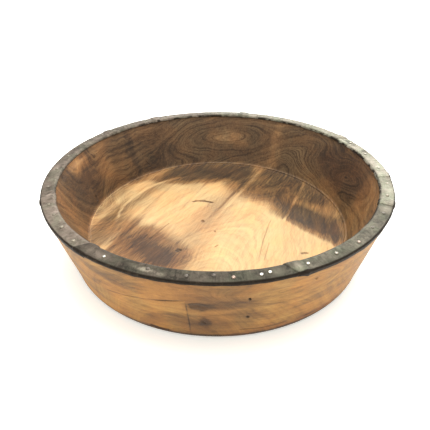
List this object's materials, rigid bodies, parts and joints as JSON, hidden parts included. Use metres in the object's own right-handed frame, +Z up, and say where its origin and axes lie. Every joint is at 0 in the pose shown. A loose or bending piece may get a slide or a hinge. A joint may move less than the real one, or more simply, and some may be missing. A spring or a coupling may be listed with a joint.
{
  "type": "wooden bowl",
  "caption": "Shallow round carved wooden bowl with sloping sides and a flat base, its rim capped with folded zinc sheet strips lapped end over end and held by small domed tacks.",
  "frame": {"origin": "centre of the flat base, on the surface the bowl stands on", "axes": "+Z up out of the bowl's mouth; -Y towards the front of the bowl, where the picture was taken from; +X to the right seen from the front"},
  "size_m": [0.4008, 0.4, 0.0952],
  "materials": {
    "carved_wood": "old dry hardwood, light and worn on the floor, dark patina on the inner wall, warm brown outside, with strong grain and knots",
    "zinc_sheet": "weathered grey zinc-coated sheet, hammered, mottled and scuffed, darker along its folds",
    "tack_steel": "small domed steel heads, some worn bright and some rusted"
  },
  "bodies": {
    "root": {"bowl_body": "carved_wood", "rim_strip_right_rear": "zinc_sheet", "rim_tacks_right_rear": "tack_steel", "rim_strip_rear_right": "zinc_sheet", "rim_tacks_rear_right": "tack_steel", "rim_strip_rear": "zinc_sheet", "rim_tacks_rear": "tack_steel", "rim_strip_rear_left": "zinc_sheet", "rim_tacks_rear_left": "tack_steel", "rim_strip_left": "zinc_sheet", "rim_tacks_left": "tack_steel", "rim_strip_front_left": "zinc_sheet", "rim_tacks_front_left": "tack_steel", "rim_strip_front": "zinc_sheet", "rim_tacks_front": "tack_steel", "rim_strip_front_right": "zinc_sheet", "rim_tacks_front_right": "tack_steel", "rim_strip_right": "zinc_sheet", "rim_tacks_right": "tack_steel"}
  },
  "joints": []
}
